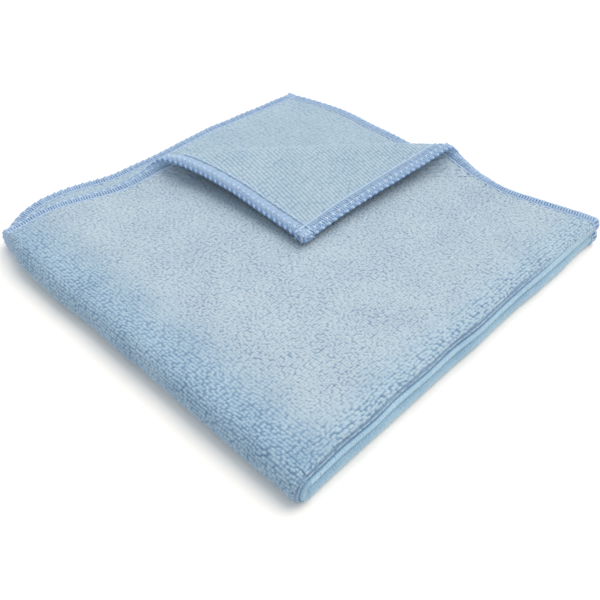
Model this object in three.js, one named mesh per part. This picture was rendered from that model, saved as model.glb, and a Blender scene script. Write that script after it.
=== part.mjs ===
// A looped microfibre polishing cloth with overlocked edges. It is folded twice into quarters, and the
// free corner of its top layer is turned back. Millimetres, +Z up, with the origin under the middle of
// the folded cloth. The first fold lies along +X, and the second, which opens like a book, along -Y.
// The cloth's own edges, which the overlock stitches wrap, lie along -X and +Y.
import * as THREE from "three";

// Driving dimensions.
const LAYER = 3.8; // thickness of one layer of looped cloth
const GAP = 0.3; // clearance between solids that lie against each other
const HALF = 106; // from the middle of the folded cloth to the outside of its folds
const HEM = 4.5; // width of the overlocked edge
const HEM_THICKNESS = 3.4; // the stitches press the loops flatter
const ROLL_RADIUS = 4.3; // radius at the middle of the cloth where the corner turns over
const ROLL_REACH = 42; // from the origin to where the top layer starts to turn over
const ROLL_ENDS = [-70, 84]; // along the roll, at its outer edges
const CORNER_ENDS = [-60, 66]; // along the roll, where the turned corner's edges leave it
const CORNER_TIP = [5, -66]; // the turned corner's tip: along the roll, and square to it
const CORNER_SLOPE = THREE.MathUtils.degToRad(3.6); // the turned corner falls towards its tip

// What follows from them.
const PITCH = LAYER + GAP;
const STACK = 4 * PITCH - GAP;
const PRESS = (LAYER - HEM_THICKNESS) / 2;
const PAIR_RADIUS = (2 * LAYER + GAP) / 2; // outside of a fold that joins two neighbouring layers
const STACK_RADIUS = STACK / 2; // outside of the fold that wraps the whole stack
const FOLD_X = HALF - PAIR_RADIUS - GAP; // where the flat layers end at the first fold
const FOLD_Y = -(HALF - STACK_RADIUS - GAP); // where they end at the second fold
const ROLL_HEIGHT = STACK - LAYER / 2 + ROLL_RADIUS; // axis of the corner's roll
const DIAGONAL = ROLL_REACH * Math.SQRT2; // the top layer ends on the line y = x + DIAGONAL

const EDGE_STEPS = 10; // straight pieces along one open edge
const ARC_STEPS = 10; // straight pieces round one fold

const CLOTH = new THREE.MeshStandardMaterial({ color: 0xb5cbd8, roughness: 0.95, metalness: 0 });
const STITCHING = new THREE.MeshStandardMaterial({ color: 0x93b1dd, roughness: 0.8, metalness: 0 });

// A smooth function through values at stations.
function edge(stations, values) {
  const curve = new THREE.CubicInterpolant(stations, values, 1);
  return (station) => curve.evaluate(station)[0];
}

// The open edges of the layers, from the bottom up: left gives x at a y, and back gives y at an x.
// They don't lie quite on top of each other, as on any cloth that is folded by hand.
const LAYERS = [
  {
    name: "bottom_layer",
    left: edge([FOLD_Y, HALF], [-97, -99]),
    back: edge([-HALF, 0, FOLD_X], [98, 99, 104]),
  },
  {
    name: "second_layer",
    left: edge([FOLD_Y, -70, 0, HALF], [-101, -103, -100, -101]),
    back: edge([-HALF, 0, FOLD_X], [100, 100, 104]),
  },
  {
    name: "third_layer",
    left: edge([FOLD_Y, -75, -30, 40, HALF], [-101, -106, -100, -103, -101]),
    back: edge([-HALF, -65, -15, 50, FOLD_X], [99, 106, 103, 94, 101]),
  },
  {
    name: "top_layer",
    left: edge([FOLD_Y, -70, -40, HALF], [-97, -88, -81, -80]),
    back: edge([-HALF, 30, 60, FOLD_X], [96, 98, 93, 101]),
    rolled: true,
  },
];

function named(name, geometry, material) {
  const mesh = new THREE.Mesh(geometry, material);
  mesh.name = name;
  return mesh;
}

// Where a rising function crosses zero.
function crossing(f, low, high) {
  for (let i = 0; i < 40; i++) {
    const middle = (low + high) / 2;
    if (f(middle) < 0) low = middle;
    else high = middle;
  }
  return low;
}

// Evenly spaced points [x, y] on a line that pointAt gives.
function line(from, to, pointAt) {
  const points = [];
  for (let i = 0; i <= EDGE_STEPS; i++) {
    points.push(pointAt(from + ((to - from) * i) / EDGE_STEPS));
  }
  return points;
}

// A layer's left edge, moved in by an inset, from the second fold to the back edge or to the roll.
function leftLine(layer, inset, backInset) {
  const x = (y) => layer.left(y) + inset;
  const end = (y) => (layer.rolled ? x(y) + DIAGONAL : layer.back(x(y)) - backInset);
  return line(FOLD_Y, crossing((y) => y - end(y), FOLD_Y, 2 * HALF), (y) => [x(y), y]);
}

// A layer's back edge, moved in by an inset, from the left hem or the roll to the first fold.
function backLine(layer, inset) {
  const y = (x) => layer.back(x) - inset;
  const start = (x) => (layer.rolled ? y(x) - DIAGONAL : layer.left(y(x)) + HEM + GAP);
  return line(crossing((x) => x - start(x), -HALF, FOLD_X), FOLD_X, (x) => [x, y(x)]);
}

// A closed prism on the outline, between two heights.
function slab(outline, low, high) {
  const shape = new THREE.Shape(outline.map(([x, y]) => new THREE.Vector2(x, y)));
  const options = { depth: high - low, bevelEnabled: false };
  return new THREE.ExtrudeGeometry(shape, options).translate(0, 0, low);
}

// The strip between two lines that run the same way.
function strip(outer, inner, low, high) {
  return slab([...outer, ...[...inner].reverse()], low, high);
}

// Half a ring that bulges towards side, +1 or -1, or half a disc where inside is 0.
function halfRing(centre, height, inside, outside, side) {
  const start = (-side * Math.PI) / 2;
  const shape = new THREE.Shape();
  shape.absarc(centre, height, outside, start, start + Math.PI, false);
  if (inside > 0) {
    shape.absarc(centre, height, inside, start + Math.PI, start, true);
  }
  return shape;
}

// A section whose axes are Y and Z, drawn out along X.
function alongX(section, from, to) {
  const options = { depth: to - from, bevelEnabled: false, curveSegments: ARC_STEPS };
  const geometry = new THREE.ExtrudeGeometry(section, options);
  return geometry.rotateX(Math.PI / 2).rotateZ(Math.PI / 2).translate(from, 0, 0);
}

// A section whose axes are X and Z, drawn out along Y.
function alongY(section, from, to) {
  const options = { depth: to - from, bevelEnabled: false, curveSegments: ARC_STEPS };
  return new THREE.ExtrudeGeometry(section, options).rotateX(Math.PI / 2).translate(0, to, 0);
}

// One flat layer with the stitched strips along its two open edges. The left strip runs through to the
// free corner, and the back strip starts beside it.
function flatLayer(layer, index) {
  const low = index * PITCH;
  const high = low + LAYER;
  const cloth = HEM + GAP;
  const outline = [[FOLD_X, FOLD_Y], ...backLine(layer, cloth).reverse()];
  outline.push(...leftLine(layer, cloth, cloth).reverse());
  const left = strip(leftLine(layer, 0, 0), leftLine(layer, HEM, 0), low + PRESS, high - PRESS);
  const back = strip(backLine(layer, 0), backLine(layer, HEM), low + PRESS, high - PRESS);
  return [
    named(layer.name, slab(outline, low, high), CLOTH),
    named(layer.name + "_hem_left", left, STITCHING),
    named(layer.name + "_hem_back", back, STITCHING),
  ];
}

// The first fold between a layer and the next one up. The stitched edge turns with it at the back.
function firstFold(name, lower) {
  const height = lower * PITCH + PAIR_RADIUS;
  const section = (outside) => halfRing(FOLD_X + GAP, height, 0, outside, 1);
  const end = LAYERS[lower].back(FOLD_X);
  const cloth = alongY(section(PAIR_RADIUS), FOLD_Y, end - HEM - GAP);
  const hem = alongY(section(PAIR_RADIUS - PRESS), end - HEM, end);
  return [named(name, cloth, CLOTH), named(name + "_hem", hem, STITCHING)];
}

// The second fold, which starts from the given layer and turns between two radii. The stitched edge
// turns with it at the left.
function secondFold(name, lower, inside, outside) {
  const hemInside = inside > 0 ? inside + PRESS : 0;
  const section = (inner, outer) => halfRing(FOLD_Y - GAP, STACK_RADIUS, inner, outer, -1);
  const end = LAYERS[lower].left(FOLD_Y);
  const cloth = alongX(section(inside, outside), end + HEM + GAP, HALF);
  const hem = alongX(section(hemInside, outside - PRESS), end, end + HEM);
  return [named(name, cloth, CLOTH), named(name + "_hem", hem, STITCHING)];
}

// The roll where the corner turns over, drawn out along X, with the stitched edges at its two ends.
function cornerRoll() {
  const [left, right] = ROLL_ENDS;
  const inside = ROLL_RADIUS - LAYER / 2;
  const outside = ROLL_RADIUS + LAYER / 2;
  const section = (press) => halfRing(ROLL_REACH + GAP, ROLL_HEIGHT, inside + press, outside - press, 1);
  const hem = HEM * Math.SQRT2; // the edges cross the roll diagonally
  return [
    named("corner_roll", alongX(section(0), left + hem + GAP, right - hem - GAP), CLOTH),
    named("corner_roll_hem_left", alongX(section(PRESS), left, left + hem), STITCHING),
    named("corner_roll_hem_right", alongX(section(PRESS), right - hem, right), STITCHING),
  ];
}

// The turned corner's triangle, with its two open edges moved in by an inset.
function cornerTriangle(inset) {
  const [left, right] = CORNER_ENDS;
  const [tipX, tipY] = CORNER_TIP;
  const moved = (end) => (inset * Math.hypot(tipX - end, tipY)) / -tipY;
  const from = left + moved(left);
  const to = right - moved(right);
  const share = (to - from) / (right - left);
  return { left: [from, 0], right: [to, 0], tip: [from + share * (tipX - left), share * tipY] };
}

// The turned corner, lying on z = 0 with its tip towards -Y. Its two stitched edges meet at the tip.
function turnedCorner() {
  const outer = cornerTriangle(0);
  const inner = cornerTriangle(HEM);
  const cloth = cornerTriangle(HEM + GAP);
  const low = -HEM_THICKNESS / 2;
  const high = HEM_THICKNESS / 2;
  const towardsRight = new THREE.Vector2(outer.right[0] - outer.tip[0], -outer.tip[1]).setLength(GAP);
  const clear = ([x, y]) => [x + towardsRight.x, y + towardsRight.y];
  const triangle = slab([cloth.left, cloth.tip, cloth.right], -LAYER / 2, LAYER / 2);
  const left = strip([outer.left, outer.tip], [inner.left, inner.tip], low, high);
  const right = strip([clear(outer.tip), outer.right], [clear(inner.tip), inner.right], low, high);
  return [
    named("turned_corner", triangle, CLOTH),
    named("turned_corner_hem_left", left, STITCHING),
    named("turned_corner_hem_right", right, STITCHING),
  ];
}

const polishingCloth = new THREE.Group();
LAYERS.forEach((layer, index) => polishingCloth.add(...flatLayer(layer, index)));
polishingCloth.add(...firstFold("first_fold_lower", 0));
polishingCloth.add(...firstFold("first_fold_upper", 2));
polishingCloth.add(...secondFold("second_fold_inner", 1, 0, PAIR_RADIUS));
polishingCloth.add(...secondFold("second_fold_outer", 0, STACK_RADIUS - LAYER, STACK_RADIUS));

// X runs along the corner's roll and Y points at the corner that it was folded back from.
const diagonal = new THREE.Group();
diagonal.rotation.z = Math.PI / 4;
diagonal.add(...cornerRoll());
const corner = new THREE.Group();
corner.position.set(0, ROLL_REACH, ROLL_HEIGHT + ROLL_RADIUS);
corner.rotation.x = CORNER_SLOPE;
corner.add(...turnedCorner());
diagonal.add(corner);
polishingCloth.add(diagonal);

export default polishingCloth;
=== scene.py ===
from collections import namedtuple

import bmesh
import bpy
import numpy as np
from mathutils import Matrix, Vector


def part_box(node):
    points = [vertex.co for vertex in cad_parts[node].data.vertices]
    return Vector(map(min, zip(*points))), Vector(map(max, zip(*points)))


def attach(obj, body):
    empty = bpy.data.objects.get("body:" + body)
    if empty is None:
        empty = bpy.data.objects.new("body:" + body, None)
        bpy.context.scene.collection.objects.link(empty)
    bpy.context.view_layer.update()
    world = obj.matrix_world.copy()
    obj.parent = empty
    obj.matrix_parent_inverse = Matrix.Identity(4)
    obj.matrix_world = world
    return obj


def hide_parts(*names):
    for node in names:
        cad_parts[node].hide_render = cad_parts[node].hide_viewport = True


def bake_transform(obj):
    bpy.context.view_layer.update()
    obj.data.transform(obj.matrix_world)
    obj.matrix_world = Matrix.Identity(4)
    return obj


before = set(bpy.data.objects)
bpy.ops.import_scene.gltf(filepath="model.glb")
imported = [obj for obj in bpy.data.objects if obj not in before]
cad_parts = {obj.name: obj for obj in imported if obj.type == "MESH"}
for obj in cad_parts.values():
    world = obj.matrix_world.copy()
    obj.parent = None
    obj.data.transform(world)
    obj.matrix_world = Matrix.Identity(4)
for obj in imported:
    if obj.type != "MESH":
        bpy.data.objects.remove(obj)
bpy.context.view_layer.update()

MM = 0.001


def box(node):
    """Lowest and highest corner of a CAD node, in millimetres."""
    low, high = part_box(node)
    return np.array(low) / MM, np.array(high) / MM


# Where the CAD says the layers and folds are.
LAYER = box("top_layer")[1][2] - box("top_layer")[0][2]
STACK = box("top_layer")[1][2]
SEAM_X = box("first_fold_upper")[0][0]  # where the flat layers end at the first fold
SEAM_Y = box("second_fold_outer")[1][1]  # where they end at the second fold
MIDDLE = {name: (box(name)[0][2] + box(name)[1][2]) / 2
          for name in ("bottom_layer", "second_layer", "third_layer", "top_layer")}
HINGE_Z = STACK / 2
PAIR_RADIUS = box("first_fold_upper")[1][0] - SEAM_X  # outside of a fold that joins two neighbours
PAIR_MIDDLE = PAIR_RADIUS - LAYER / 2  # at the middle of the cloth, in such a fold
STACK_MIDDLE = STACK / 2 - LAYER / 2  # the same, in the fold that wraps the whole stack
SIDE = 205  # length of a layer's side
HEM = 6.3  # width of the stitched edge, with the thread round it

# How far apart the points of a piece are.
SPACING = 0.4  # on the surfaces that show most
INNER_SPACING = 1.0  # on those that hardly show
CORNER_SPACING = 0.5  # on the turned corner
ROUND_SPACING = 0.25  # round the first fold
FRONT_SPACING = 0.35  # round the second fold, where the first fold goes with it
EDGE_SPACING = 0.25  # along a cut edge

# The cloth.
HALF_BODY = 1.4  # from the middle of the cloth to the roots of its loops
LOOP = 0.5  # height of the loops on face P
RIB = 0.38  # height of the ribs on face Q
PRESSED = 1.15  # half the thickness under the stitches
THINNING = 1.2  # over this distance the cloth gets thinner towards its cut edge
PILE_START = (HEM - 1.2, HEM + 0.3)  # from the cut edge: where the pile begins, and where it is full
UNDER_STITCHES = HEM - 1.4  # from the cut edge: as far as the cloth has the colour of the thread
GROOVE_PRESS = 0.8  # how much of the pile is pressed flat in a deep crease, which also darkens the colour there as painted shade

# Patterns of rounded tufts. pitch is the size of a cell with one tuft, loose is how far the tufts stray
# from their places, and reach is how far they spread round them, in cells, in the pattern's two directions.
Tufts = namedtuple("Tufts", "pitch loose reach seed")
LYING = Tufts(pitch=(1.2, 1.1), loose=(0.6, 0.6), reach=(0.66, 0.66), seed=3)
ROWS_ALONG_X = Tufts(pitch=(1.4, 1.45), loose=(0.9, 0.35), reach=(0.7, 0.55), seed=4)
ROWS_ALONG_Y = Tufts(pitch=(1.4, 1.45), loose=(0.9, 0.5), reach=(0.85, 0.58), seed=5)
RIBBED = Tufts(pitch=(1.9, 1.6), loose=(0.12, 0.9), reach=(0.52, 0.85), seed=7)
KNITTED = Tufts(pitch=(1.6, 1.1), loose=(0.2, 0.3), reach=(0.9, 0.5), seed=9)

# Where the cloth bends, its loops part in rows.
ROWS_FROM_X = (85, 101)  # beside the first fold: where they begin to part, and where they have
ROWS_FROM_Y = (-70, -98)  # the same beside the second fold
PARTED_HEIGHT = 1.3  # of the parted loops
PARTED_DEPTH = 0.26  # of the gaps between them
PARTED_SHARE = 0.9  # the rest of the loops still lie flat
DEEP_YARN_AND_SHADE = (0.1, 0.4)  # how much darker the cloth is beside the first and the second fold: partly the deep yarn showing, partly painted shade, most beside the second fold, whose face turns away from the light
BLUER_AND_SHADED = (0.3, 0.4)  # how much bluer the cloth is there, partly for its parted loops and partly as painted shade

# The folds.
CREASES = [(22, 1.1), (56, 1.4)]  # round the upper first fold: degrees from its top, and depth
CREASE_WIDTH = 12  # degrees
KNIT_FROM = (CREASES[1][0], CREASES[1][0] + 8)  # degrees from its top: where the knit starts to show
LOWER_GROOVE = 0.35  # how far the lower first fold is pressed in, which also darkens its colour as painted shade
FOLD_DEPTH = 0.8  # how far the folds bulge, as a share of a half circle
FOLD_END_DEPTH = 0.12  # the same at the second fold's stitched end, which is pressed flat
SQUARENESS = 0.85  # of the first fold's section: 1 is round, and less is squarer
DROP_SECOND = 0.12  # how much lower the stack is at the second fold, as a share of its height
DROP_FIRST = 0.07  # the same at the first fold
DROP_END = 0.2  # how much lower still it is at the second fold's stitched end

# The corner that is turned back. Its roll runs along the diagonal, and is bowed.
DIAGONAL = np.array([[1, 1], [-1, 1]]) / np.sqrt(2)  # along the roll, and square to it
RISE = [(28, 0), (42, 30), (51.5, 172), (58, 184.6)]  # how steep the cloth is as it turns over, degrees
RIDGE_REACH = 8.6  # how much further out the roll is at its furthest
RIDGE_MIDDLE = 45  # where that is, along the roll
RIDGE_BOW = 32.4  # distance along the roll over which it comes back by its first millimetre
CUT = 34  # the turned corner is a piece of its own from here on
TIP = np.array([-89.6, 96.7])  # the corner itself, before it is turned
CORNER_SHARE = 0.7  # the part of the layer's length and width that holds the corner
CORNER_SKEW = 0.28  # how far the corner's ribs are pulled off their line


def curve(stations, values):
    """A smooth function through values at stations."""
    stations, values = np.array(stations, float), np.array(values, float)
    slopes = np.gradient(values, stations)

    def at(x):
        i = np.clip(np.searchsorted(stations, x) - 1, 0, len(stations) - 2)
        width = stations[i + 1] - stations[i]
        t = (x - stations[i]) / width
        rest = 1 - t
        return (values[i] * (1 + 2 * t) * rest**2 + values[i + 1] * (3 - 2 * t) * t**2
                + width * t * rest * (slopes[i] * rest - slopes[i + 1] * t))

    return at


# The open edges of the layers: left gives x at a y, and back gives y at an x.
EDGES = {
    "bottom_layer": (curve([SEAM_Y, 106], [-95, -99]), curve([-106, 0, SEAM_X], [98, 99, 104])),
    "second_layer": (curve([SEAM_Y, -88, -70, 0, 106], [-97, -101.5, -103, -100, -101]),
                     curve([-106, 0, SEAM_X], [100, 100, 104])),
    "third_layer": (curve([SEAM_Y, -88, -75, -30, 40, 106], [-97, -102.5, -105.5, -100, -103, -101]),
                    curve([-106, -65, -15, 50, SEAM_X], [99, 106, 103, 94, 101])),
    "top_layer": (curve([SEAM_Y, -70, -45, -12, TIP[1]], [-95, -91, -83, -80, TIP[0]]),
                  curve([TIP[0], 30, 60, SEAM_X], [TIP[1], 98, 93, 101])),
}


# Noise and patterns.

def smooth(low, high, x):
    """0 below low, 1 above high, and a smooth step between."""
    t = np.clip((x - low) / (high - low), 0, 1)
    return t * t * (3 - 2 * t)


def power(x, exponent):
    """A power that keeps the sign, for rounded boxes from circles."""
    return np.sign(x) * np.abs(x) ** exponent


def scatter(i, j, seed):
    """A number from 0 to 1 for each pair of whole numbers, without any pattern."""
    n = (i.astype(np.int64) * 374761393 + j.astype(np.int64) * 668265263 + seed * 974634777) & 0xFFFFFFFF
    n = ((n ^ (n >> 13)) * 1274126177) & 0xFFFFFFFF
    return ((n ^ (n >> 16)) & 0xFFFF) / 65535


def drift(x, y, size, seed):
    """Noise from -1 to 1 that changes smoothly over about the given size."""
    x, y = x / size, y / size
    i, j = np.floor(x), np.floor(y)
    u, v = smooth(0, 1, x - i), smooth(0, 1, y - j)
    low = scatter(i, j, seed) * (1 - u) + scatter(i + 1, j, seed) * u
    high = scatter(i, j + 1, seed) * (1 - u) + scatter(i + 1, j + 1, seed) * u
    return 2 * (low * (1 - v) + high * v) - 1


def tufts(x, y, kind):
    """Height from 0 to 1 of a pattern of rounded tufts. A quarter of it differs from tuft to tuft."""
    x, y = x / kind.pitch[0], y / kind.pitch[1]
    i, j = np.floor(x), np.floor(y)
    best = np.zeros(np.broadcast(x, y).shape)
    for di in (-1, 0, 1):
        for dj in (-1, 0, 1):
            a, b = i + di, j + dj
            from_x = x - a - 0.5 - kind.loose[0] * (scatter(a, b, kind.seed) - 0.5)
            from_y = y - b - 0.5 - kind.loose[1] * (scatter(a, b, kind.seed + 1) - 0.5)
            cap = 1 - (from_x / kind.reach[0]) ** 2 - (from_y / kind.reach[1]) ** 2
            best = np.maximum(best, cap * (0.75 + 0.25 * scatter(a, b, kind.seed + 2)))
    return best


def loops(x, y, rows_x, rows_y):
    """Height of the loops on face P. rows_x is 1 where they have parted beside the first fold, and rows_y
    is 1 where they have parted beside the second."""
    sway = 0.6 * drift(x, y, size=7, seed=11)
    lying = tufts(x + sway, y + sway, LYING)
    along_x = tufts(x + sway, y + sway, ROWS_ALONG_X)
    along_y = tufts(y + sway, x + sway, ROWS_ALONG_Y)
    parted = PARTED_HEIGHT * np.where(rows_y > rows_x, along_x, along_y) - PARTED_DEPTH
    share = PARTED_SHARE * np.maximum(rows_x, rows_y)
    return lying * (1 - share) + parted * share


def ribs(x, y):
    """Height of the dotted ribs on face Q."""
    sway = 0.35 * drift(x, y, size=12, seed=21)
    return tufts(x + sway, y, RIBBED)


def knit(x, y):
    """Height of the fine knit that shows where the loops part."""
    return 0.3 + 0.6 * tufts(x, y, KNITTED)


# Meshes.

def mesh_object(name, points, faces, smooth_kinds):
    """A mesh object from points and a list of arrays of faces, each with one number of corners, and
    whether each of those arrays is shaded smooth."""
    mesh = bpy.data.meshes.new(name)
    corners = np.concatenate([f.ravel() for f in faces])
    sizes = np.concatenate([np.full(len(f), f.shape[1]) for f in faces])
    mesh.vertices.add(len(points))
    mesh.vertices.foreach_set("co", points.astype(np.float32).ravel())
    mesh.loops.add(len(corners))
    mesh.loops.foreach_set("vertex_index", corners.astype(np.int32))
    mesh.polygons.add(len(sizes))
    mesh.polygons.foreach_set("loop_start", np.concatenate([[0], np.cumsum(sizes)[:-1]]).astype(np.int32))
    shading = np.concatenate([np.full(len(f), s) for f, s in zip(faces, smooth_kinds)])
    mesh.polygons.foreach_set("use_smooth", shading)
    mesh.update(calc_edges=True)
    obj = bpy.data.objects.new(name, mesh)
    bpy.context.scene.collection.objects.link(obj)
    return obj


def set_attribute(mesh, name, values):
    """Keeps a number for each point, which the materials read."""
    attribute = mesh.attributes.new(name, "FLOAT", "POINT")
    attribute.data.foreach_set("value", np.concatenate([v.ravel() for v in values]).astype(np.float32))


def set_uv(mesh, flat):
    """Keeps each point's flat place as its UV, so that the materials stay put when the cloth moves."""
    corners = np.zeros(len(mesh.loops), np.int32)
    mesh.loops.foreach_get("vertex_index", corners)
    mesh.uv_layers.new(name="cloth").data.foreach_set("uv", flat[corners].astype(np.float32).ravel())


def grid_faces(n, m, first):
    """Quads between the points of a grid of n rows of m."""
    i = np.arange(n * m).reshape(n, m) + first
    return np.stack([i[:-1, :-1], i[1:, :-1], i[1:, 1:], i[:-1, 1:]], -1).reshape(-1, 4)


def rim(n, m, first):
    """The points round the border of a grid, in order."""
    i = np.arange(n * m).reshape(n, m) + first
    return np.concatenate([i[:-1, 0], i[-1, :-1], i[:0:-1, -1], i[0, :0:-1]])


def border_faces(top_rim, low_rim, fine, coarse):
    """Faces that close a sheet between the rims of its two faces. Each takes one step of the rim with few
    points, and the coarse steps beside it of the rim with many."""
    few, many = (low_rim, top_rim) if fine == "P" else (top_rim, low_rim)
    steps = np.arange(len(few))[:, None] * coarse + np.arange(coarse + 1)
    border = np.column_stack([few, np.roll(few, -1), many[steps[:, ::-1] % len(many)]])
    return border if fine == "P" else border[:, ::-1]


# What is known at each point of one face of a flat sheet: its place, how far it is from the cut edge,
# how far the loops have parted beside the two folds, how far they have parted down to the knit, how deep
# a crease is, and the place in the pattern of loops or ribs.
Side = namedtuple("Side", "x y edge rows_x rows_y plain groove pattern_x pattern_y")


def face_of(side, is_p):
    """One face of a flat sheet: its points, and the two numbers that its colour follows: how high the pile
    is, and how far the cloth bends. Beside the folds and on the lower roll both also carry painted shade."""
    if is_p:
        pile = (loops(side.pattern_x, side.pattern_y, side.rows_x, side.rows_y) * (1 - side.plain)
                + knit(side.pattern_x, side.pattern_y) * side.plain)
    else:
        pile = ribs(side.pattern_x, side.pattern_y)
    # Pressing the pile also lowers the colour: painted shade in the creases and on the lower roll.
    pile = pile * (1 - GROOVE_PRESS * np.clip(side.groove, 0, 1))
    clear = smooth(*PILE_START, side.edge)
    body = PRESSED + (HALF_BODY - PRESSED) * clear
    body = body * np.sqrt(np.clip(side.edge / THINNING, 0.15, 1))
    height = body + (LOOP if is_p else RIB) * pile * clear - (side.groove if is_p else 0)
    points = np.stack([side.x, side.y, height if is_p else -height], -1)
    # Beside the folds the colour is darker and bluer: partly the parted loops, partly painted shade on the
    # face that turns away from the light.
    deeper_and_shaded = 1 - DEEP_YARN_AND_SHADE[0] * side.rows_x - DEEP_YARN_AND_SHADE[1] * side.rows_y
    bend_shade = np.maximum(side.plain, np.maximum(BLUER_AND_SHADED[0] * side.rows_x, BLUER_AND_SHADED[1] * side.rows_y))
    return points, pile * deeper_and_shaded * clear + 0.5 * (1 - clear), bend_shade


def flat_cloth(name, x, y, edge, rows_x=0, rows_y=0, plain=0, groove=0, pattern=None, fine="P", coarse=3):
    """A closed flat sheet on a grid of x and y, from what Side holds. pattern is where each point is in the
    pattern of loops and ribs, if that isn't x and y. The face that isn't the fine one has only every
    coarse-th row and column."""
    fields = [np.broadcast_to(f, x.shape)
              for f in (x, y, edge, rows_x, rows_y, plain, groove, *(pattern or (x, y)))]
    whole, some = Side(*fields), Side(*(f[::coarse, ::coarse] for f in fields))
    p_side, q_side = (whole, some) if fine == "P" else (some, whole)
    upper, upper_pile, upper_bend_shade = face_of(p_side, True)
    lower, lower_pile, lower_bend_shade = face_of(q_side, False)
    count = upper.shape[0] * upper.shape[1]
    top = grid_faces(*upper.shape[:2], 0)
    bottom = grid_faces(*lower.shape[:2], count)[:, ::-1]
    border = border_faces(rim(*upper.shape[:2], 0), rim(*lower.shape[:2], count), fine, coarse)
    points = np.concatenate([upper.reshape(-1, 3), lower.reshape(-1, 3)])
    obj = mesh_object(name, points, [top, bottom, border], [True, True, False])
    set_attribute(obj.data, "pile", [upper_pile, lower_pile])
    set_attribute(obj.data, "bend_shade", [upper_bend_shade, lower_bend_shade])
    set_uv(obj.data, np.concatenate([np.stack([side.pattern_x.ravel(), side.pattern_y.ravel()], -1)
                                     for side in (p_side, q_side)]))
    edges = np.concatenate([p_side.edge.ravel(), q_side.edge.ravel()])
    slots = [np.where(edges[faces].mean(1) < UNDER_STITCHES, UNDER_SLOT, slot)
             for faces, slot in ((top, LOOP_SLOT), (bottom, RIB_SLOT), (border, LOOP_SLOT))]
    obj.data.polygons.foreach_set("material_index", np.concatenate(slots).astype(np.int32))
    return obj


def settle(points):
    """The soft unevenness of a cloth laid by hand, the same for all that lies at the same place. The
    stack is lower towards its folds, and lowest where the second fold meets the stitched edges."""
    x, y, z = points.T
    up = np.clip(z / STACK, 0, 1.3)
    second = smooth(-70, -99, y)
    first, stitched = smooth(78, 103, x), smooth(-78, -99, x)
    z = z * (1 - DROP_SECOND * second - DROP_FIRST * first - DROP_END * second * stitched)
    return np.stack([
        x + 0.5 * drift(y, z, size=17, seed=31) * smooth(60, 104, np.abs(x)),
        y + 0.5 * drift(x, z, size=19, seed=32) * smooth(60, 104, np.abs(y)),
        z + up * (0.45 * drift(x, y, size=33, seed=33) + 0.2 * drift(x, y, size=12, seed=34)),
    ], -1)


def put(obj, fold, mirrored=False):
    """Folds a flat object with the given function and settles it, in metres."""
    flat = np.zeros(len(obj.data.vertices) * 3, np.float32)
    obj.data.vertices.foreach_get("co", flat)
    placed = settle(fold(flat.reshape(-1, 3).astype(float))) * MM
    obj.data.vertices.foreach_set("co", placed.astype(np.float32).ravel())
    if mirrored:
        obj.data.flip_normals()
    obj.data.update()
    return obj


# The folds: each takes flat points and returns where they go.

def laid(layer, loops_up):
    """A flat layer, with its loops up or down."""
    side = 1 if loops_up else -1

    def fold(points):
        return np.column_stack([points[:, :2], MIDDLE[layer] + side * points[:, 2]])

    return fold


def bulge(x):
    """How far the second fold bulges at a place along it, as a share of a half circle."""
    return FOLD_END_DEPTH + (FOLD_DEPTH - FOLD_END_DEPTH) * smooth(-98, -68, x)


def turned(radius, loops_out):
    """The second fold, whose flat y runs from 0 round a half circle to pi times the radius."""
    side = 1 if loops_out else -1

    def fold(points):
        x, along, h = points.T
        angle, reach = along / radius, radius + side * h
        return np.stack([x, SEAM_Y - bulge(x) * reach * np.sin(angle), HINGE_Z - reach * np.cos(angle)], -1)

    return fold


def roll_section(angle, reach, inner, y):
    """How far out and up a point of the first fold is from its axis. inner is -1 for the upper roll and 1
    for the lower one: that side of it is pinched, so that a gap opens between them towards the front."""
    pinch = 0.15 + 0.3 * smooth(40, SEAM_Y, y)
    facing = smooth(0, 0.5, inner * np.cos(angle))
    out = FOLD_DEPTH * reach * power(np.sin(angle), SQUARENESS)
    up = reach * power(np.cos(angle), SQUARENESS) * (1 - pinch * facing * np.sin(angle) ** 2)
    return out, up


def rolled(height):
    """The first fold at a height, whose flat x runs from 0 at its top round a half circle."""
    inner = -1 if height > HINGE_Z else 1

    def fold(points):
        along, y, h = points.T
        out, up = roll_section(along / PAIR_MIDDLE, PAIR_MIDDLE + h, inner, y)
        return np.stack([SEAM_X + out, y, height + up], -1)

    return fold


def rolled_and_turned(points):
    """The first fold where it goes round with the second: flat y is the angle of that turn."""
    along, turn, h = points.T
    out, up = roll_section(along / PAIR_MIDDLE, PAIR_MIDDLE + h, -1, SEAM_Y)
    away = HINGE_Z / 2 + up
    y = SEAM_Y - FOLD_DEPTH * away * np.sin(turn)
    return np.stack([SEAM_X + out, y, HINGE_Z - away * np.cos(turn)], -1)


def ridge_shift(p):
    """How much further out the corner's roll is than at its plain reach, at a place along it."""
    return RIDGE_REACH - ((p - RIDGE_MIDDLE) / RIDGE_BOW) ** 2


def turn_profile():
    """The line that the middle of the cloth follows as the corner turns over: stations, places along
    the top, heights and slopes."""
    step = 0.05
    station = np.arange(RISE[0][0], 200, step)
    slope = np.radians(np.interp(station, *zip(*RISE)))
    along = station[0] + np.concatenate([[0], np.cumsum(np.cos(slope[:-1]) * step)])
    height = np.concatenate([[0], np.cumsum(np.sin(slope[:-1]) * step)])
    return station, along, height, slope


PROFILE = turn_profile()


def turn_corner(points):
    """The top layer, whose corner is turned back over itself."""
    p, s = DIAGONAL @ points[:, :2].T
    h = points[:, 2]
    shift = ridge_shift(p)
    station, along, height, slope = PROFILE
    place = np.where(s - shift < station[0], s - shift, np.interp(s - shift, station, along)) + shift
    steep = np.interp(s - shift, station, slope)
    place = place - h * np.sin(steep)
    z = MIDDLE["top_layer"] + np.interp(s - shift, station, height) + h * np.cos(steep)
    xy = DIAGONAL.T @ np.stack([p, place])
    return np.stack([xy[0], xy[1], z], -1)


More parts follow.
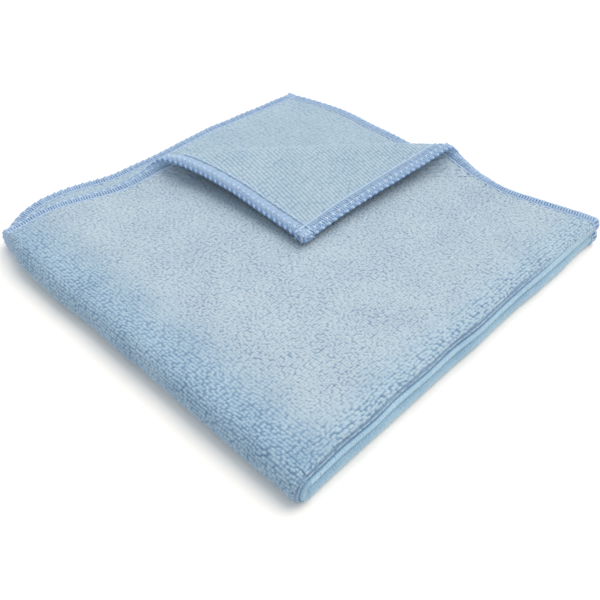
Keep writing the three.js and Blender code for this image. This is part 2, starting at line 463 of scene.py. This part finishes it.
# The pieces of cloth.

def even_steps(length, spacing, coarse):
    """Evenly spaced shares of a length from 0 to 1, in a number of steps that coarse divides."""
    steps = int(np.ceil(length / spacing / coarse)) * coarse
    return np.linspace(0, 1, steps + 1)


def layer_grid(layer, spacing, coarse, part=1):
    """The x and y of a layer's points, and how far each is from the cut edge. part is the share of the
    layer's length and width that is made, from its free corner."""
    left, back = EDGES[layer]
    shares = even_steps(SIDE * part, spacing, coarse) * part
    u, v = np.meshgrid(shares, 1 - shares[::-1], indexing="ij")
    x, y = u * 200 - 100, v * 200 - 100  # a first guess
    for _ in range(12):  # the left edge depends on y and the back edge on x, so both close in by turns
        x = left(y) + u * (SEAM_X - left(y))
        y = SEAM_Y + v * (back(x) - SEAM_Y)
    return x, y, np.minimum(x - left(y), back(x) - y)


def layer_cloth(name, layer, spacing, fine, coarse, part=1, skew=0):
    """A whole flat layer, or the given share of it. skew is how far its ribs are pulled off their line."""
    x, y, edge = layer_grid(layer, spacing, coarse, part)
    rows_x, rows_y = smooth(*ROWS_FROM_X, x), smooth(*ROWS_FROM_Y, y)
    return flat_cloth(name, x, y, edge, rows_x, rows_y, pattern=(x + skew * y, y), fine=fine, coarse=coarse)


def cut(obj, side):
    """Cuts a flat object along the line where the turned corner starts. side is +1 to keep what lies
    inside that line, and -1 to keep the corner."""
    normal = Vector((*DIAGONAL[1], 0))
    bm = bmesh.new()
    bm.from_mesh(obj.data)
    parts = bmesh.ops.bisect_plane(bm, geom=[*bm.verts, *bm.edges, *bm.faces], dist=1e-5,
                                   plane_co=normal * CUT, plane_no=normal * side, clear_outer=True)
    open_edges = [e for e in parts["geom_cut"] if isinstance(e, bmesh.types.BMEdge)]
    for face in bmesh.ops.holes_fill(bm, edges=open_edges, sides=0)["faces"]:
        face.smooth = False
    bm.to_mesh(obj.data)
    bm.free()
    return obj


def second_fold_cloth(name, layer, radius, loops_out, spacing, coarse):
    """The bend of the second fold that starts from the given layer. Its outer face is the fine one."""
    length = np.pi * radius
    outside = 1.2  # how much longer its outside is than its middle
    left = EDGES[layer][0](SEAM_Y)
    u, v = np.meshgrid(even_steps(SIDE, spacing, coarse), even_steps(length * outside, spacing, coarse),
                       indexing="ij")
    x, along = left + u * (SEAM_X - left), v * length
    pattern = (x, SEAM_Y - (length - along) * (radius + HALF_BODY) / radius)
    obj = flat_cloth(name, x, along, x - left, rows_y=1, pattern=pattern, fine="P" if loops_out else "Q",
                     coarse=coarse)
    return put(obj, turned(radius, loops_out), mirrored=loops_out)


def roll_creases(angle):
    """How deep the creases are round the upper first fold, at an angle from its top."""
    degrees = np.degrees(angle)
    return sum(depth * np.exp(-((degrees - place) / CREASE_WIDTH) ** 2) for place, depth in CREASES)


def first_fold_cloth(name, layer, height):
    """The bend of the first fold at a height, under the given layer. On the upper one the loops part along
    two creases near its top. Below them, and on the lower one, the knit between the loops shows."""
    end = EDGES[layer][1](SEAM_X)
    u, v = np.meshgrid(even_steps(np.pi * PAIR_RADIUS, ROUND_SPACING, 2), even_steps(SIDE, SPACING, 4),
                       indexing="ij")
    angle, y = u * np.pi, SEAM_Y + v * (end - SEAM_Y)
    plain, groove = 1, LOWER_GROOVE
    if height > HINGE_Z:
        plain = smooth(*KNIT_FROM, np.degrees(angle)) * smooth(5, 30, end - y)
        groove = roll_creases(angle) * smooth(0, 90, end - y)
    pattern = (SEAM_X + angle * PAIR_RADIUS, y)
    obj = flat_cloth(name, angle * PAIR_MIDDLE, y, end - y, 1, 0, plain, groove, pattern, coarse=2)
    return put(obj, rolled(height))


def corner_fold_cloth(name):
    """The first fold where it goes round with the second, at the cloth's front corner. It has no cut
    edge."""
    u, v = np.meshgrid(even_steps(np.pi * PAIR_RADIUS, ROUND_SPACING, 2),
                       even_steps(np.pi * HINGE_Z, FRONT_SPACING, 2), indexing="ij")
    angle, turn = u * np.pi, v * np.pi
    far = np.full(u.shape, 100.0)
    plain = smooth(*KNIT_FROM, np.degrees(angle))
    groove = 0.7 * roll_creases(angle)
    pattern = (SEAM_X + angle * PAIR_RADIUS, SEAM_Y - (np.pi - turn) * HINGE_Z)
    obj = flat_cloth(name, angle * PAIR_MIDDLE, turn, far, 0, 1, plain, groove, pattern, coarse=2)
    return put(obj, rolled_and_turned, mirrored=True)


# The stitches.
STITCH = 3.9  # one stitch of the overlock machine, along the edge
WRAPS = 3  # turns of the thread round the edge in a stitch
WRAP_POINTS = 16  # points in one turn
RUN_STEP = 0.29  # between the points of the threads that run along the edge
TUBE_SIDES = 6
THREAD = 0.6  # radius of the thread that wraps the edge
PURL = 0.7  # radius of the row of purls along the edge, and how far inside the edge it lies
KNOT_DEPTH = 2.6  # from the edge to the rows of knots
KNOT_THREAD = 0.3  # radius of those rows between two knots
KNOTS = ((1, 0.3), (-1, 0.8))  # face P or Q, and how much thicker its knots are
NEEDLE = 0.48  # radius of the needle thread, which runs where the hem meets the pile

# A thread's path, the line that it bulges away from, its radius, and how pale it is, along the path.
Thread = namedtuple("Thread", "path centre radius pale")


def resampled(line, step):
    """A polyline's points again, about step apart, and the distance along it."""
    along = np.concatenate([[0], np.cumsum(np.linalg.norm(np.diff(line, axis=0), axis=1))])
    at = np.linspace(0, along[-1], int(along[-1] / step) + 1)
    return np.stack([np.interp(at, along, c) for c in line.T], -1), at


class Edge:
    """A cut edge that has the cloth on its right, and the function that folds it."""

    def __init__(self, line, fold):
        self.line, self.at = resampled(np.asarray(line, float), EDGE_SPACING)
        tangent = np.gradient(self.line, axis=0)
        tangent /= np.linalg.norm(tangent, axis=1)[:, None]
        self.inward = np.stack([tangent[:, 1], -tangent[:, 0]], -1)
        self.length = self.at[-1]
        self.fold = fold

    def spots(self, along, depth, high):
        """Where points go that are so far along the edge, inward from it, and above the cloth's middle."""
        base = np.stack([np.interp(along, self.at, c) for c in self.line.T], -1)
        inward = np.stack([np.interp(along, self.at, c) for c in self.inward.T], -1)
        return settle(self.fold(np.column_stack([base + inward * depth[:, None], high])))


def wrapping_thread(edge):
    """The thread that goes round the edge."""
    wraps = max(2, round(edge.length / STITCH * WRAPS))
    angle = np.arange(wraps * WRAP_POINTS + 1) * 2 * np.pi / WRAP_POINTS
    turn = angle / (2 * np.pi)
    uneven = scatter(np.floor(turn), np.zeros_like(turn), 5) - 0.5
    middle = np.full_like(turn, HEM / 2)
    depth = middle - (HEM / 2 - 0.9) * power(np.cos(angle), 0.7) + 0.3 * uneven
    high = (PRESSED + 0.25 + 0.2 * uneven) * power(np.sin(angle), 0.6)
    along = np.clip((turn + 0.3 * np.sin(angle)) * STITCH / WRAPS, 0, edge.length)
    return Thread(edge.spots(along, depth, high), edge.spots(along, middle, 0 * high),
                  THREAD * (1 + 0.3 * uneven), 0.35)


def running_threads(edge):
    """The threads that run along the edge: a row of purls on it, and on each face a row of knots and the
    needle thread."""
    run = np.arange(0, edge.length, RUN_STEP)
    phase = run / STITCH * 2 * np.pi
    swell = np.clip(np.cos(phase), 0, 1) ** 1.5
    centre = edge.spots(run, np.full_like(run, HEM / 2), 0 * run)
    purls = edge.spots(run, PURL - 0.25 * swell, 0.3 * np.sin(phase))
    threads = [Thread(purls, centre, PURL + 0.2 * swell, 0.4 + 0.2 * swell)]
    for side, knot in KNOTS:
        knots = edge.spots(run, KNOT_DEPTH - 0.3 * swell, side * (PRESSED + 0.45 + 0 * run))
        threads.append(Thread(knots, centre, KNOT_THREAD + knot * swell, 0.4 + 0.6 * swell))
        high = side * (PRESSED + 0.4 + 0.1 * np.cos(phase))
        needle = edge.spots(run, HEM + 0.1 + 0.15 * np.sin(phase), high)
        threads.append(Thread(needle, centre, NEEDLE, 0.6))
    return threads


def tube(thread):
    """Rings of points round a thread's path, and their faces."""
    along = np.gradient(thread.path, axis=0)
    along /= np.linalg.norm(along, axis=1)[:, None] + 1e-12
    out = thread.path - thread.centre
    out -= (out * along).sum(1)[:, None] * along
    out /= np.linalg.norm(out, axis=1)[:, None] + 1e-12
    across = np.cross(along, out)
    angle = np.arange(TUBE_SIDES) * 2 * np.pi / TUBE_SIDES
    rings = thread.path[:, None] + np.reshape(thread.radius, (-1, 1, 1)) * (
        np.cos(angle)[None, :, None] * out[:, None] + np.sin(angle)[None, :, None] * across[:, None])
    i = np.arange(len(thread.path) * TUBE_SIDES).reshape(-1, TUBE_SIDES)
    following = np.roll(i, -1, axis=1)
    quads = np.stack([i[:-1], following[:-1], following[1:], i[1:]], -1).reshape(-1, 4)
    caps = np.stack([i[0, ::-1], i[-1]])
    return rings.reshape(-1, 3), quads, caps


def overlock(name, line, fold):
    """Overlock stitches along a flat edge line that has the cloth on its right."""
    edge = Edge(line, fold)
    points, quads, caps, paleness = [], [], [], []
    first = 0
    for thread in (wrapping_thread(edge), *running_threads(edge)):
        ring_points, ring_quads, ring_caps = tube(thread)
        points.append(ring_points)
        quads.append(ring_quads + first)
        caps.append(ring_caps + first)
        paleness.append(np.repeat(np.broadcast_to(thread.pale, len(thread.path)), TUBE_SIDES))
        first += len(ring_points)
    faces = [np.concatenate(quads), np.concatenate(caps)]
    obj = mesh_object(name, np.concatenate(points) * MM, faces, [True, False])
    set_attribute(obj.data, "pale", paleness)
    return obj


# Materials.
LOOP_SLOT, RIB_SLOT, UNDER_SLOT = range(3)  # of a piece of cloth
BEND_AND_SHADE_TINT = (0.91, 1.09, 1.17)  # the cloth is bluer where it bends, partly because its loops part and the knit shows, and partly as painted shade on the front faces and the lower roll
THREADS_PER_MM = 2.2


class Nodes:
    """Short calls for making and joining a material's nodes."""

    def __init__(self, name):
        self.material = bpy.data.materials.new(name)
        self.material.use_nodes = True
        self.tree = self.material.node_tree
        self.shader = self.tree.nodes["Principled BSDF"]

    def add(self, kind, inputs, **settings):
        node = self.tree.nodes.new(kind)
        for key, value in settings.items():
            setattr(node, key, value)
        for key, value in inputs.items():
            if isinstance(value, bpy.types.NodeSocket):
                self.tree.links.new(value, node.inputs[key])
            else:
                node.inputs[key].default_value = value
        return node

    def attribute(self, name):
        return self.add("ShaderNodeAttribute", {}, attribute_name=name).outputs["Fac"]

    def noise(self, place, **inputs):
        return self.add("ShaderNodeTexNoise", {"Vector": place, "Detail": 2.0, **inputs}).outputs["Fac"]

    def weighted(self, value, weight, base):
        """weight times value, plus base."""
        return self.add("ShaderNodeMath", {0: value, 1: weight, 2: base}, operation="MULTIPLY_ADD").outputs[0]

    def ramp(self, factor, stops):
        """A colour ramp with stops of (place, colour)."""
        node = self.add("ShaderNodeValToRGB", {"Fac": factor})
        elements = node.color_ramp.elements
        while len(elements) < len(stops):
            elements.new(0.5)
        for element, (place, colour) in zip(elements, stops):
            element.position = place
            element.color = (*colour, 1)
        return node.outputs["Color"]

    def tinted(self, colour, amount, tint):
        """A colour that is multiplied by a tint where amount is 1."""
        factor, a, b, result = 0, 6, 7, 2  # the sockets of a colour mix, which share their names with others
        return self.add("ShaderNodeMix", {factor: amount, a: colour, b: (*tint, 1)},
                        data_type="RGBA", blend_type="MULTIPLY").outputs[result]

    def bump(self, height, strength, distance):
        node = self.add("ShaderNodeBump", {"Height": height, "Strength": strength, "Distance": distance * MM})
        self.link(node.outputs["Normal"], "Normal")

    def link(self, output, input_name):
        self.tree.links.new(output, self.shader.inputs[input_name])

    def finish(self, **values):
        """Sets the shader's plain values, such as Sheen_Weight, and returns the material."""
        for key, value in values.items():
            self.shader.inputs[key.replace("_", " ")].default_value = value
        return self.material


def cloth_material(name, stops, fine_bump):
    """Looped yarn: pale on the tips of the loops and bluer between them, with single threads as bump. Beside
    the yarn's own colour, the pale tips are painted sheen and the blue between them painted shade.
    """
    n = Nodes(name)
    place = n.add("ShaderNodeUVMap", {}, uv_map="cloth").outputs["UV"]
    threads = n.noise(place, Scale=THREADS_PER_MM, Roughness=0.6, Distortion=1.2)
    patches = n.noise(place, Scale=0.045)
    # Higher pile is paler: painted sheen on the tips of the loops, and painted shade in the gaps between
    # them.
    shade = n.weighted(n.attribute("pile"), 0.6, -0.34)
    shade = n.weighted(threads, 0.7, shade)
    shade = n.weighted(patches, 0.3, shade)
    n.link(n.tinted(n.ramp(shade, stops), n.attribute("bend_shade"), BEND_AND_SHADE_TINT), "Base Color")
    n.bump(threads, 0.7, fine_bump)
    return n.finish(Roughness=0.95, Specular_IOR_Level=0.15, Sheen_Weight=0.25, Sheen_Roughness=0.5)


def stitch_material(name, dark, pale):
    """Bulky yarn of fine filaments, paler where it is knotted."""
    n = Nodes(name)
    place = n.add("ShaderNodeTexCoord", {}).outputs["Object"]
    strands = n.noise(place, Scale=1900.0, Distortion=0.8)
    shade = n.weighted(n.attribute("pale"), 0.8, 0)
    shade = n.weighted(strands, 0.6, shade)
    n.link(n.ramp(shade, [(0.3, dark), (1.0, pale)]), "Base Color")
    n.bump(strands, 0.6, 0.2)
    return n.finish(Roughness=0.85, Specular_IOR_Level=0.2, Sheen_Weight=0.15, Sheen_Roughness=0.5)


def floor_material():
    return Nodes("floor_white").finish(Base_Color=(0.97, 0.93, 0.87, 1), Roughness=0.9)


# The ramps run from painted shade, dark blue between the loops and ribs, to painted sheen, pale on their
# tips.
LOOPS = cloth_material("looped_face", [(0, (0.12, 0.19, 0.28)), (0.18, (0.215, 0.315, 0.425)),
                                       (0.4, (0.365, 0.458, 0.525)), (0.72, (0.495, 0.575, 0.61))], 0.35)
RIBS = cloth_material("ribbed_face", [(0, (0.13, 0.25, 0.40)), (0.3, (0.265, 0.375, 0.46)),
                                      (0.72, (0.425, 0.52, 0.57))], 0.25)
EDGE_YARN = stitch_material("edge_under_stitches", (0.16, 0.28, 0.50), (0.26, 0.39, 0.60))
STITCHES = stitch_material("overlock_yarn", (0.22, 0.35, 0.53), (0.50, 0.61, 0.73))


# Edge lines, in flat coordinates, with the cloth on their right.

def left_line(layer, start, end):
    y = np.linspace(start, end, 400)
    return np.stack([EDGES[layer][0](y), y], -1)


def back_line(layer, start, end):
    x = np.linspace(start, end, 400)
    return np.stack([x, EDGES[layer][1](x)], -1)


def corner_of(layer):
    """Where a layer's two cut edges meet."""
    left, back = EDGES[layer]
    x, y = -100.0, 100.0
    for _ in range(20):
        x, y = float(left(y)), float(back(x))
    return x, y


def meets_cut(edge_line):
    """The number of the point on an edge line where the turned corner starts."""
    return int(np.argmin(np.abs(edge_line @ DIAGONAL[1] - CUT)))


# The pieces, and what each stands for in the CAD.
CORNER_GAP = 0.5  # the stitches along two edges leave this much free where they meet


def finish_piece(cloth, hems, body, nodes, hem_nodes):
    """Gives a piece of cloth and its stitches their materials, hides the CAD nodes that they replace, and
    hangs them on the body they ride on, if it is only one."""
    for material in (LOOPS, RIBS, EDGE_YARN):
        cloth.data.materials.append(material)
    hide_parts(*nodes)
    for hem, node in zip(hems, hem_nodes):
        hem.data.materials.append(STITCHES)
        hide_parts(node)
    if body:
        for obj in (cloth, *hems):
            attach(obj, body)


def blend_halves(obj, low, high):
    """Bakes a piece's placement into its mesh; it is not bent between the two halves of the folded cloth. low
    and high are not used.
    """
    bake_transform(obj)


def make_layer(layer, loops_up, body, spacing, fine, coarse):
    """A flat layer with its two stitched edges."""
    flat = layer_cloth(layer.replace("layer", "cloth"), layer, spacing, fine, coarse)
    fold = laid(layer, loops_up)
    cloth = put(flat, fold, mirrored=not loops_up)
    x, y = corner_of(layer)
    name = layer.replace("_layer", "_stitches")
    left = overlock(name + "_left", left_line(layer, SEAM_Y, y - CORNER_GAP), fold)
    back = overlock(name + "_back", back_line(layer, x + CORNER_GAP, SEAM_X), fold)
    finish_piece(cloth, [left, back], body, [layer], [layer + "_hem_left", layer + "_hem_back"])


def make_top():
    """The top layer, and the corner of it that is turned back."""
    flat_top = cut(layer_cloth("top_cloth", "top_layer", SPACING, "P", 4), 1)
    top = put(flat_top, turn_corner)
    flat_corner = cut(layer_cloth("corner_cloth", "top_layer", CORNER_SPACING, "Q", 2, CORNER_SHARE,
                                  CORNER_SKEW), -1)
    corner = put(flat_corner, turn_corner)
    left = left_line("top_layer", SEAM_Y, TIP[1] - CORNER_GAP)
    back = back_line("top_layer", TIP[0] + CORNER_GAP, SEAM_X)
    a, b = meets_cut(left), meets_cut(back)
    lines = {
        "top_stitches_left": left[:a + 1],
        "top_stitches_back": back[b:],
        "corner_stitches_left": left[a:],
        "corner_stitches_back": back[:b + 1],
    }
    hems = [overlock(name, line, turn_corner) for name, line in lines.items()]
    finish_piece(top, hems[:2], "upper_half", ["top_layer"], ["top_layer_hem_left", "top_layer_hem_back"])
    finish_piece(corner, hems[2:], None, ["corner_roll", "turned_corner"],
                 ["turned_corner_hem_left", "turned_corner_hem_right"])
    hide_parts("corner_roll_hem_left")
    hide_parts("corner_roll_hem_right")
    for obj in (corner, *hems[2:]):
        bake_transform(obj)


def make_second_fold(name, layer, radius, loops_out, node, blend):
    """One bend of the second fold, with its stitched end."""
    spacing, coarse = (SPACING, 4) if loops_out else (INNER_SPACING, 2)
    cloth = second_fold_cloth(name + "_cloth", layer, radius, loops_out, spacing, coarse)
    left = float(EDGES[layer][0](SEAM_Y))
    hem = overlock(name + "_stitches", [[left, 0], [left, np.pi * radius]], turned(radius, loops_out))
    finish_piece(cloth, [hem], None, [node], [node + "_hem"])
    for obj in (cloth, hem):
        blend_halves(obj, *blend)


def make_corner_fold(blend):
    """The front corner, where the first fold goes round with the second."""
    cloth = corner_fold_cloth("fold_corner_cloth")
    finish_piece(cloth, [], None, ["second_fold_outer"], [])
    blend_halves(cloth, *blend)


def make_first_fold(name, layer, height, body, node):
    """One bend of the first fold, with its stitched end."""
    cloth = first_fold_cloth(name + "_cloth", layer, height)
    end = float(EDGES[layer][1](SEAM_X))
    hem = overlock(name + "_stitches", [[0, end], [np.pi * PAIR_MIDDLE, end]], rolled(height))
    finish_piece(cloth, [hem], body, [node], [node + "_hem"])


# The studio, in metres.

def floor():
    size, below = 6, 0.0002
    corners = np.array([[-1, -1, 0], [1, -1, 0], [1, 1, 0], [-1, 1, 0]]) * size - [0, 0, below]
    obj = mesh_object("floor", corners, [np.array([[0, 1, 2, 3]])], [False])
    obj.data.materials.append(floor_material())


def light():
    """A soft sky, and a broad warmer light from above and behind."""
    scene = bpy.context.scene
    world = bpy.data.worlds.new("studio")
    world.use_nodes = True
    world.node_tree.nodes["Background"].inputs["Color"].default_value = (0.84, 0.91, 1, 1)
    world.node_tree.nodes["Background"].inputs["Strength"].default_value = 0.82
    scene.world = world

    sun = bpy.data.lights.new("soft_light", "SUN")
    sun.energy = 2.4
    sun.angle = 1.1
    sun.color = (1, 0.93, 0.86)
    lamp = bpy.data.objects.new("soft_light", sun)
    lamp.rotation_euler = Vector((0.15, 0.55, 0.88)).to_track_quat("Z", "Y").to_euler()
    scene.collection.objects.link(lamp)


def camera():
    scene = bpy.context.scene
    scene.view_settings.view_transform = "Standard"
    data = bpy.data.cameras.new("camera")
    data.lens = 42.3
    obj = bpy.data.objects.new("camera", data)
    obj.location = (0.1944, -0.1955, 0.2044)
    aim = Vector((0.0316, -0.0276, 0)) - obj.location
    obj.rotation_euler = aim.to_track_quat("-Z", "Y").to_euler()
    scene.collection.objects.link(obj)
    scene.camera = obj


floor()
light()
camera()

OUTER_BLEND = (4, 12.2)  # heights for the outer bend of the second fold, handed to blend_halves
INNER_BLEND = (6, 10)  # the same for the inner bend
make_layer("bottom_layer", False, "lower_half", spacing=1.3, fine="Q", coarse=1)
make_layer("second_layer", True, "lower_half", spacing=1.0, fine="P", coarse=2)
make_layer("third_layer", False, "upper_half", spacing=0.75, fine="Q", coarse=2)
make_top()
make_second_fold("outer_fold", "bottom_layer", STACK_MIDDLE, True, "second_fold_outer", OUTER_BLEND)
make_second_fold("inner_fold", "second_layer", PAIR_MIDDLE, False, "second_fold_inner", INNER_BLEND)
make_corner_fold(OUTER_BLEND)
make_first_fold("lower_roll", "bottom_layer", PAIR_RADIUS, "lower_half", "first_fold_lower")
make_first_fold("upper_roll", "top_layer", STACK - PAIR_RADIUS, "upper_half", "first_fold_upper")
